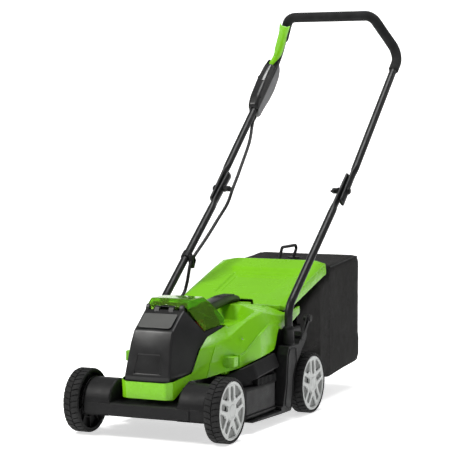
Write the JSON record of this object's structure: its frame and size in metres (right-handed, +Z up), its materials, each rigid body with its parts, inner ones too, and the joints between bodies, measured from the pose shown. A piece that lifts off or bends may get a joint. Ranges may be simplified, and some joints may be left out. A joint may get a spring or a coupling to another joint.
{
  "type": "push lawn mower",
  "caption": "Cordless rotary push mower with a folding handle, rear grass bag, hinged battery lid and wheels that set the cutting height.",
  "frame": {"origin": "on the ground under the middle of the whole machine", "axes": "-Y to the mower's front, +Y to the grass bag and grip, +X to the side away from the switch box, +Z up"},
  "size_m": [0.4045, 1.1962, 1.0268],
  "materials": {
    "green_plastic": "moulded, satin gloss",
    "black_plastic": "moulded, fine grain",
    "grey_plastic": "moulded, fine grain",
    "silver_plastic": "silver painted",
    "tyre_rubber": "hard rubber with a cleated tread",
    "cable_rubber": "smooth cable jacket",
    "foam": "closed-cell foam",
    "bag_fabric": "woven polyester",
    "powder_coated_steel": "satin black powder coat",
    "steel": "zinc plated or ground",
    "clear_green_plastic": "clear tinted, polished",
    "red_plastic": "moulded",
    "circuit_board": "lacquered board"
  },
  "bodies": {
    "root": {"deck_housing": "black_plastic", "green_shroud": "green_plastic", "motor_cover": "black_plastic", "label_plate": "grey_plastic", "battery_tray": "black_plastic", "contact_block": "grey_plastic", "controller_board": "circuit_board", "motor_can": "steel", "carry_handle": "black_plastic", "side_rail_right": "black_plastic", "side_rail_left": "black_plastic", "socket_collar_right": "black_plastic", "socket_collar_left": "black_plastic", "lower_tube_right": "powder_coated_steel", "lower_tube_left": "powder_coated_steel", "cable_clip": "black_plastic", "power_cable_lower": "cable_rubber", "pivot_bolt_right": "powder_coated_steel", "pivot_bolt_left": "powder_coated_steel", "lid_hinge_pin": "steel", "flap_hinge_rod": "steel", "flap_spring_right": "steel", "flap_spring_left": "steel"},
    "front_axle": {"front_axle": "steel"},
    "rear_axle": {"rear_axle": "steel"},
    "link_rod": {"link_rod": "steel"},
    "height_lever": {"height_lever": "black_plastic"},
    "rotor": {"motor_shaft": "steel", "blade_adapter": "grey_plastic", "blade": "steel", "blade_bolt": "steel"},
    "handle": {"upper_tube": "powder_coated_steel", "foam_grip": "foam", "switch_box": "black_plastic", "switch_box_shell": "grey_plastic", "micro_switch": "grey_plastic", "power_cable_upper": "cable_rubber"},
    "bail": {"bail_lever": "green_plastic"},
    "lock_button": {"lock_button": "grey_plastic"},
    "knob_right": {"wing_knob_right": "black_plastic"},
    "knob_left": {"wing_knob_left": "black_plastic"},
    "lid": {"battery_lid": "clear_green_plastic"},
    "key": {"safety_key": "red_plastic"},
    "flap": {"rear_flap": "green_plastic"},
    "bag": {"grass_bag": "bag_fabric", "bag_frame": "black_plastic", "bag_handle": "black_plastic"},
    "wheel_front_right": {"tyre_front_right": "tyre_rubber", "wheel_hub_front_right": "black_plastic", "hubcap_front_right": "silver_plastic"},
    "wheel_front_left": {"tyre_front_left": "tyre_rubber", "wheel_hub_front_left": "black_plastic", "hubcap_front_left": "silver_plastic"},
    "wheel_rear_right": {"tyre_rear_right": "tyre_rubber", "wheel_hub_rear_right": "black_plastic", "hubcap_rear_right": "silver_plastic"},
    "wheel_rear_left": {"tyre_rear_left": "tyre_rubber", "wheel_hub_rear_left": "black_plastic", "hubcap_rear_left": "silver_plastic"}
  },
  "joints": [
    {"name": "height_adjust", "type": "hinge", "parent": "root", "child": "rear_axle", "pos_m": [0.003, -0.0171, 0.075], "axis": [1, 0, 0], "range_deg": [-32, 32]},
    {"name": "front_crank", "type": "hinge", "parent": "root", "child": "front_axle", "pos_m": [0.003, -0.4871, 0.075], "axis": [1, 0, 0], "range_deg": [-32, 32]},
    {"name": "link_swing", "type": "hinge", "parent": "rear_axle", "child": "link_rod", "pos_m": [0.003, -0.0171, 0.103], "axis": [1, 0, 0], "range_deg": [-32, 32]},
    {"name": "lever_swing", "type": "hinge", "parent": "root", "child": "height_lever", "pos_m": [0.003, -0.1051, 0.196], "axis": [1, 0, 0], "range_deg": [-16, 16]},
    {"name": "blade_spin", "type": "hinge", "parent": "root", "child": "rotor", "pos_m": [0.003, -0.3011, 0.052], "axis": [0, 0, 1], "continuous": true},
    {"name": "handle_fold", "type": "hinge", "parent": "root", "child": "handle", "pos_m": [0.003, 0.1944, 0.542], "axis": [1, 0, 0], "range_deg": [0, 135], "deforming": ["power_cable_upper"]},
    {"name": "bail_pull", "type": "hinge", "parent": "handle", "child": "bail", "pos_m": [-0.183, 0.5444, 0.88257], "axis": [-0.9067, -0.185, 0.379], "range_deg": [0, 4.5], "stiffness_Nm_per_rad": 4, "springref_deg": -14.32},
    {"name": "lock_press", "type": "slide", "parent": "handle", "child": "lock_button", "axis": [1, 0, 0], "range_m": [0, 0.003], "stiffness_N_per_m": 300, "springref_m": -0.003},
    {"name": "knob_turn_right", "type": "hinge", "parent": "root", "child": "knob_right", "pos_m": [0.003, 0.1944, 0.542], "axis": [1, 0, 0], "continuous": true},
    {"name": "knob_turn_left", "type": "hinge", "parent": "root", "child": "knob_left", "pos_m": [0.003, 0.1944, 0.542], "axis": [1, 0, 0], "continuous": true},
    {"name": "lid_open", "type": "hinge", "parent": "root", "child": "lid", "pos_m": [0.003, -0.4666, 0.2965], "axis": [1, 0, 0], "range_deg": [0, 95]},
    {"name": "key_pull", "type": "slide", "parent": "root", "child": "key", "axis": [0, 0, 1], "range_m": [0, 0.012]},
    {"name": "flap_open", "type": "hinge", "parent": "root", "child": "flap", "pos_m": [0.003, -0.1111, 0.258], "axis": [1, 0, 0], "range_deg": [0, 50], "stiffness_Nm_per_rad": 0.3, "springref_deg": -34.38},
    {"name": "bag_slide", "type": "slide", "parent": "root", "child": "bag", "axis": [0, 1, 0], "range_m": [0, 0.25]},
    {"name": "front_right_wheel_spin", "type": "hinge", "parent": "front_axle", "child": "wheel_front_right", "pos_m": [0.003, -0.5231, 0.075], "axis": [1, 0, 0], "continuous": true},
    {"name": "front_left_wheel_spin", "type": "hinge", "parent": "front_axle", "child": "wheel_front_left", "pos_m": [0.003, -0.5231, 0.075], "axis": [1, 0, 0], "continuous": true},
    {"name": "rear_right_wheel_spin", "type": "hinge", "parent": "rear_axle", "child": "wheel_rear_right", "pos_m": [0.003, -0.0531, 0.075], "axis": [1, 0, 0], "continuous": true},
    {"name": "rear_left_wheel_spin", "type": "hinge", "parent": "rear_axle", "child": "wheel_rear_left", "pos_m": [0.003, -0.0531, 0.075], "axis": [1, 0, 0], "continuous": true}
  ],
  "couplings": [
    {"joint": "front_crank", "follows": "height_adjust", "ratio": 1},
    {"joint": "link_swing", "follows": "height_adjust", "ratio": -1},
    {"joint": "lever_swing", "follows": "height_adjust", "ratio": -0.5}
  ]
}
